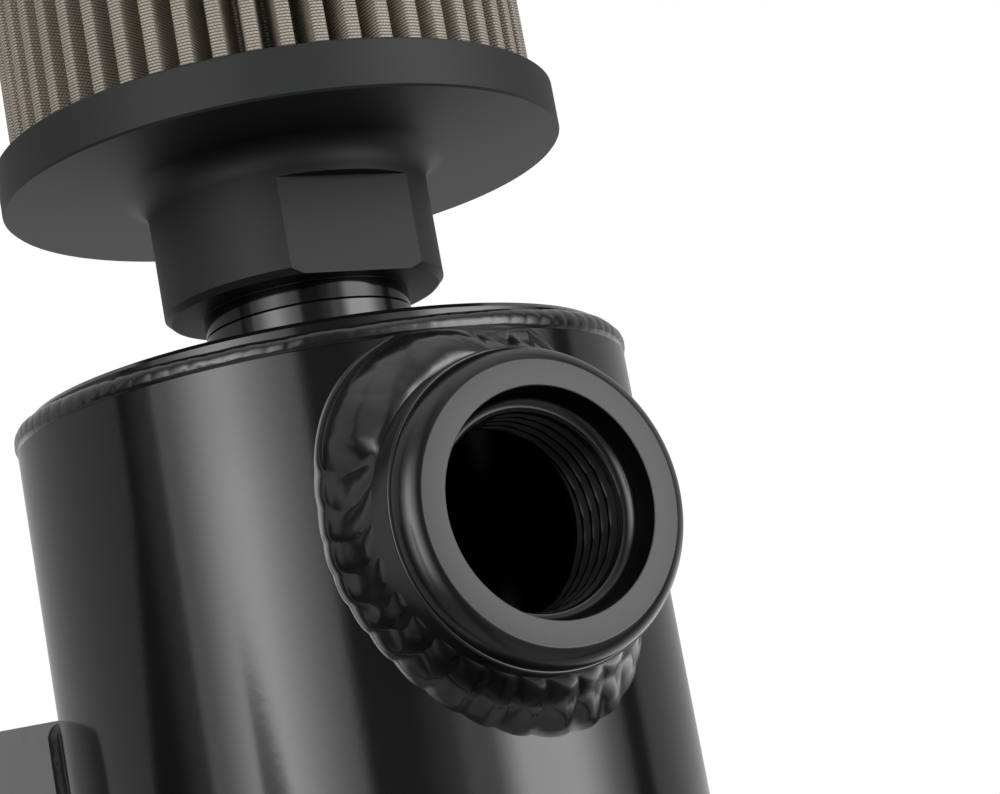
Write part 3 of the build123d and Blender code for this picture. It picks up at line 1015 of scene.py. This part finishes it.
class CATCHCAN_OT_inlet(bpy.types.Operator):
    """Turn the inlet bung and cut its thread"""

    bl_idname = "catchcan.inlet"
    bl_label = "Inlet bung"

    shoulder_steps = 24
    edge = 0.1 * MM
    ledge_round = 0.3 * MM
    ledge_steps = 4
    lead_round = 1.8 * MM
    lead_turn = radians(75)
    lead_steps = 12
    cone_turn = radians(27)
    rows_per_turn = 20
    crest_flat = 0.25
    flank = 0.6

    def execute(self, context):
        sizes = context.scene.can_sizes
        steps = sizes.turn_steps
        outside = self.outside(sizes)
        mouth = THREAD_R + sizes.port_mouth
        face = [(mouth + self.edge, BUNG_FACE), (mouth, BUNG_FACE - self.edge)]
        seat = self.lead_in(sizes)
        thread = self.thread(seat[-1], sizes)
        relief = [(THREAD_R + sizes.port_relief, out) for out in (THREAD_BACK, BUNG_BACK)]
        rows = [port_ring(r, out, steps) for r, out in outside + face + seat]
        rows += thread
        rows += [port_ring(r, out, steps) for r, out in relief]
        mesh = grid_mesh("inlet_bung_turned", rows, around=True, along=True)
        face_row = len(outside) - 1
        seat_row = face_row + len(face)
        cone_row = seat_row + len(seat)
        back_row = cone_row + len(thread) + len(relief) - 1
        for polygon in mesh.polygons:
            row = polygon.index // steps
            if face_row <= row < seat_row:
                polygon.material_index = 1
            # Painted shade: the mouth wall and the thread take a material darker than the coat.
            elif row == seat_row or cone_row <= row <= back_row:
                polygon.material_index = 2
        materials = [
            made_once("bung coat", bung_coat),
            made_once("port face", port_face_matte),
            made_once("thread black", bore_shade_black),
        ]
        show("inlet_bung_threaded", outward(mesh), materials, "can", "bung_black", "inlet_bung")
        return {"FINISHED"}

    def outside(self, sizes):
        """Radius and reach of the bung's outside: a plain cylinder, a small ledge and a round shoulder."""
        foot = BUNG_FACE - sizes.port_shoulder_height
        radius = BUNG_R - sizes.port_ledge
        fall = sizes.port_shoulder - sizes.port_ledge
        bend = (fall**2 + sizes.port_shoulder_height**2) / (2 * fall)
        end = asin(sizes.port_shoulder_height / bend)
        line = [(BUNG_R, BUNG_BACK)]
        for i in range(self.ledge_steps + 1):
            turn = pi / 2 * i / self.ledge_steps
            inward = self.ledge_round * (1 - cos(turn))
            line.append((BUNG_R - inward, foot - self.ledge_round * (1 - sin(turn))))
        for i in range(self.shoulder_steps + 1):
            turn = end * i / self.shoulder_steps
            line.append((radius - bend * (1 - cos(turn)), foot + bend * sin(turn)))
        return line

    def lead_in(self, sizes):
        """Radius and reach over the seat's round edge, down to where the thread's cone starts."""
        radius = THREAD_R + sizes.port_seat
        foot = BUNG_FACE - sizes.port_seat_depth
        line = []
        for i in range(self.lead_steps + 1):
            turn = self.lead_turn * i / self.lead_steps
            line.append((radius - self.lead_round * (1 - cos(turn)), foot - self.lead_round * sin(turn)))
        return line

    def thread(self, start, sizes):
        """Rings of the thread, from the start of its cone to its back."""
        lead_radius, lead = start
        length = lead - THREAD_BACK
        count = ceil(length / sizes.thread_pitch * self.rows_per_turn)
        rings = []
        for i in range(count + 1):
            fall = length * i / count
            crest = max(THREAD_R, lead_radius - fall * tan(self.cone_turn))
            rings.append(self.thread_ring(lead - fall, crest, sizes))
        return rings

    def thread_ring(self, out, crest, sizes):
        """One ring of the thread: its radius goes once through the thread's section in each pitch."""
        steps = sizes.turn_steps
        points = []
        for j in range(steps):
            place = (out / sizes.thread_pitch + j / steps) % 1.0
            tooth = min(1.0, max(0.0, (abs(2 * place - 1) - self.crest_flat) / self.flank))
            radius = max(crest, THREAD_R + sizes.thread_depth * tooth)
            points.append(port_point(radius, 2 * pi * j / steps, out))
        return points


class CATCHCAN_OT_cloth(bpy.types.Operator):
    """Fold the pleated wire cloth of the filter"""

    bl_idname = "catchcan.cloth"
    bl_label = "Wire cloth"

    tip_gap = 0.05 * MM
    fold_round = 0.45 * MM
    fold_share = 0.45
    fold_steps = 3
    height_steps = 10

    def execute(self, context):
        sizes = context.scene.can_sizes
        tip = CLOTH_R - self.tip_gap
        root = tip - sizes.pleat_depth
        wall = sizes.cloth_thickness
        outer = self.folds(tip, sizes.pleat_crest, root, sizes.pleat_valley, sizes)
        crest = sizes.pleat_crest - wall
        valley = sizes.pleat_valley + wall
        inner = self.folds(tip - wall, crest, root - wall, valley, sizes)
        reach = [0.0]
        for a, b in zip(outer, outer[1:] + outer[:1]):
            reach.append(reach[-1] + (b - a).length)
        span = cloth_high.z - cloth_low.z
        heights = [cloth_low.z + span * i / self.height_steps for i in range(self.height_steps + 1)]
        levels = heights + heights[::-1]
        sheets = [outer] * len(heights) + [inner] * len(heights)
        rows = [[Vector((p.x, p.y, z)) for p in sheet] for sheet, z in zip(sheets, levels)]

        def laid_out(i, j):
            return reach[j], levels[i % len(levels)]

        mesh = grid_mesh("cloth", rows, around=True, along=True, laid_out=laid_out)
        cloth = made_once("wire cloth", wire_cloth)
        show("filter_cloth", outward(mesh), [cloth], "breather", "wire_cloth", "filter_mesh")
        return {"FINISHED"}

    def folds(self, tip, crest, root, valley, sizes):
        """The folded line of the cloth seen from above, with rounded folds."""
        corners = []
        for i in range(sizes.pleat_count):
            for radius, half, turn in ((tip, crest, 2 * i), (root, valley, 2 * i + 1)):
                middle = sizes.pleat_turn + turn * pi / sizes.pleat_count
                for edge in (middle - half / radius, middle + half / radius):
                    corners.append(Vector((radius * cos(edge), radius * sin(edge))))
        line = []
        for i, corner in enumerate(corners):
            back = self.shortened(corners[i - 1] - corner)
            on = self.shortened(corners[(i + 1) % len(corners)] - corner)
            for k in range(self.fold_steps + 1):
                t = k / self.fold_steps
                line.append(corner + back * (1 - t) ** 2 + on * t**2)
        return line

    def shortened(self, side):
        """The part of a fold's side that its rounding takes up."""
        return side.normalized() * min(self.fold_round, self.fold_share * side.length)


class CATCHCAN_OT_plain_pieces(bpy.types.Operator):
    """Give the pieces that keep their solids their finishes"""

    bl_idname = "catchcan.plain_pieces"
    bl_label = "Plain pieces"

    finishes = {
        ("gloss black coat", gloss_coat): ("top_cap", "bottom_cap", "breather_bung"),
        ("satin black coat", satin_coat): ("mounting_tab",),
        ("matte black anodising", anodised_matte): ("breather_base", "filter_top_cap", "drain_plug"),
        ("perforated steel", core_steel): ("filter_core",),
        ("bare aluminium", bare_aluminium): ("baffle_plate",),
        ("seal rubber", seal_rubber): ("breather_o_ring", "drain_o_ring"),
        ("potting", potting): ("lower_bond_ring", "upper_bond_ring"),
    }

    def execute(self, context):
        for (name, make), nodes in self.finishes.items():
            for node in nodes:
                slots = frame["nodes"][node].data.materials
                slots.clear()
                slots.append(made_once(name, make))
        return {"FINISHED"}


class CATCHCAN_OT_studio(bpy.types.Operator):
    """Lay the pale floor, light the studio and place the camera"""

    bl_idname = "catchcan.studio"
    bl_label = "Studio"

    floor_r = 6.0
    floor_steps = 96
    floor_cloud = 0.3
    sensor = 36.0
    near_clip = 0.01
    # Turns of the lights and the dark cards in degrees: start, its soft width, end, its soft width
    left_box = (-61.5, 2.5, -2, 4)
    left_core = (-57, 24, 0, 1)
    right_box = (26, 8, 100, 8)
    right_core = (40, 14, 94, 24)
    front_card = (-4, 4, 26, 12)
    right_card = (98, 4, 113, 5)
    # How much of the light each dark card takes away
    left_dark = 0.85
    front_dark = 0.65
    right_dark = 0.82
    low_dark = 0.25
    streak_dark = 0.88
    # How fast the left box fades towards the front, and what is left of its core near its top
    fall_power = 1.6
    top_share = 0.76

    def execute(self, context):
        scene = context.scene
        self.lay_floor(scene)
        self.light_surround(scene)
        self.place_camera(scene)
        scene.view_settings.view_transform = "Standard"
        return {"FINISHED"}

    def lay_floor(self, scene):
        turns = [2 * pi * i / self.floor_steps for i in range(self.floor_steps)]
        rim = [spoke(self.floor_r, turn, cad_low.z) for turn in turns]
        mesh = bpy.data.meshes.new("floor")
        mesh.from_pydata(rim, [], [range(self.floor_steps)])
        finish = new_finish("studio floor")
        cloud = finish.grain(self.floor_cloud, 2)
        pale = finish.tone(cloud, scene.can_colours.floor, 0.98, 1.0)
        mesh.materials.append(finish.surface(Base_Color=pale, Roughness=0.7))
        floor = bpy.data.objects.new("floor", mesh)
        scene.collection.objects.link(floor)
        floor.visible_diffuse = False
        floor.visible_glossy = False

    def light_surround(self, scene):
        """A white backdrop for the camera, and soft boxes at both sides for everything else."""
        scene.world = scene.world or bpy.data.worlds.new("studio")
        finish = Finish(scene.world)
        light = self.soft_boxes(finish, scene.can_studio)
        backdrop = finish.node("ShaderNodeBackground", sockets={"Strength": 1.0, "Color": (1, 1, 1, 1)})
        boxes = finish.node("ShaderNodeBackground", sockets={"Strength": light, "Color": (1, 1, 1, 1)})
        seen = finish.node("ShaderNodeLightPath", output="Is Camera Ray")
        mixed = finish.node("ShaderNodeMixShader", sockets={0: seen, 1: boxes, 2: backdrop})
        nodes = finish.tree.nodes
        out = next((n for n in nodes if n.type == "OUTPUT_WORLD"), None)
        out = out or nodes.new("ShaderNodeOutputWorld")
        finish.fill(out.inputs["Surface"], mixed)

    def soft_boxes(self, finish, studio):
        """The light from each direction, by its turn from the front and its height above the floor."""
        x, y, z = finish.parts(finish.node("ShaderNodeTexCoord", output="Generated"))
        turn = x.math("ARCTAN2", x, 0 - y)
        height = z.math("ARCSINE", z)

        def step(angle, low, high, *outs):
            """A step between two angles in degrees, from 0 to 1 or as the outs say."""
            return angle.ramp(radians(low), radians(high), *outs)

        def between(start, start_soft, end, end_soft):
            """1 between two turns in degrees, with soft edges inside them."""
            return step(turn, start, start + start_soft) * step(turn, end, end - end_soft)

        def card(share, dark):
            """What a dark card leaves of the light."""
            return 1.0 - dark * share

        # The dim surround, with dark cards at the left, in front, at the right and low down
        slant = step(height, 3, 9.5, radians(-87), radians(-75.5), "LINEAR")
        left_gap = step(turn - slant, -1.5, 1) * step(turn, -60, -76)
        dim = card(left_gap, self.left_dark) * card(between(*self.front_card), self.front_dark)
        dim = dim * card(between(*self.right_card), self.right_dark)
        below = step(height, -8, -22) * step(height, -60, -42)
        surround = studio.surround * dim * card(below, self.low_dark)

        # The left soft box, with a slanting dark streak in its lower part
        fall = step(turn, -30, -3, 1.0, 0.0, "LINEAR") ** self.fall_power
        fall = fall * step(height, 9.2, 10.4, 1.0, self.top_share)
        core = studio.left_core * fall * between(*self.left_core)
        left = between(*self.left_box) * (studio.left_skirt + core)
        wedge = step(height, 2.6, 5.6, radians(-33), radians(-40), "LINEAR")
        streak = step(turn, -42.5, -40.5) * step(turn - wedge, 4, -1) * step(height, 5.8, 4.6)
        left = left * card(streak, self.streak_dark)

        # The right soft box, the wall behind the can and the light from above
        right = studio.right_skirt * between(*self.right_box)
        right = right + studio.right_core * between(*self.right_core)
        band = step(height, -34, -10) * step(height, 46, 16)
        back = studio.back_wall * step(abs(turn), 115, 150) * step(height, -60, -30) * step(height, 4, -8)
        top = studio.top_box * step(height, 40, 75)
        return surround + (left + right) * band + back + top

    def place_camera(self, scene):
        studio = scene.can_studio
        camera = bpy.data.objects.new("camera", bpy.data.cameras.new("camera"))
        scene.collection.objects.link(camera)
        camera.data.lens = studio.lens
        camera.data.sensor_width = self.sensor
        camera.data.clip_start = self.near_clip
        turned = Matrix.Rotation(-studio.heading, 4, "Z") @ Matrix.Rotation(pi / 2 + studio.tilt, 4, "X")
        rolled = turned @ Matrix.Rotation(studio.roll, 4, "Z")
        camera.matrix_world = Matrix.Translation(studio.camera_place) @ rolled
        scene.camera = camera


class CATCHCAN_PT_panel(bpy.types.Panel):
    """Buttons and sizes of the catch can"""

    bl_idname = "CATCHCAN_PT_panel"
    bl_label = "Oil Catch Can"
    bl_space_type = "VIEW_3D"
    bl_region_type = "UI"
    bl_category = "Catch Can"

    def draw(self, context):
        for operator in OPERATORS:
            self.layout.operator(operator.bl_idname)
        for group in (context.scene.can_sizes, context.scene.can_colours, context.scene.can_studio):
            box = self.layout.box()
            for name in group.__annotations__:
                box.prop(group, name)


OPERATORS = (
    CATCHCAN_OT_tube,
    CATCHCAN_OT_seam_beads,
    CATCHCAN_OT_port_bead,
    CATCHCAN_OT_tab_beads,
    CATCHCAN_OT_inlet,
    CATCHCAN_OT_cloth,
    CATCHCAN_OT_plain_pieces,
    CATCHCAN_OT_studio,
)
SETTINGS = {"can_sizes": CanSizes, "can_colours": CanColours, "can_studio": StudioSettings}
CLASSES = (*SETTINGS.values(), *OPERATORS, CATCHCAN_PT_panel)


def register():
    for made in CLASSES:
        bpy.utils.register_class(made)
    for name, group in SETTINGS.items():
        setattr(bpy.types.Scene, name, PointerProperty(type=group))


def unregister():
    for name in SETTINGS:
        delattr(bpy.types.Scene, name)
    for made in reversed(CLASSES):
        bpy.utils.unregister_class(made)


def main():
    register()
    for operator in OPERATORS:
        group, name = operator.bl_idname.split(".")
        getattr(getattr(bpy.ops, group), name)()


if __name__ == "__main__":
    main()
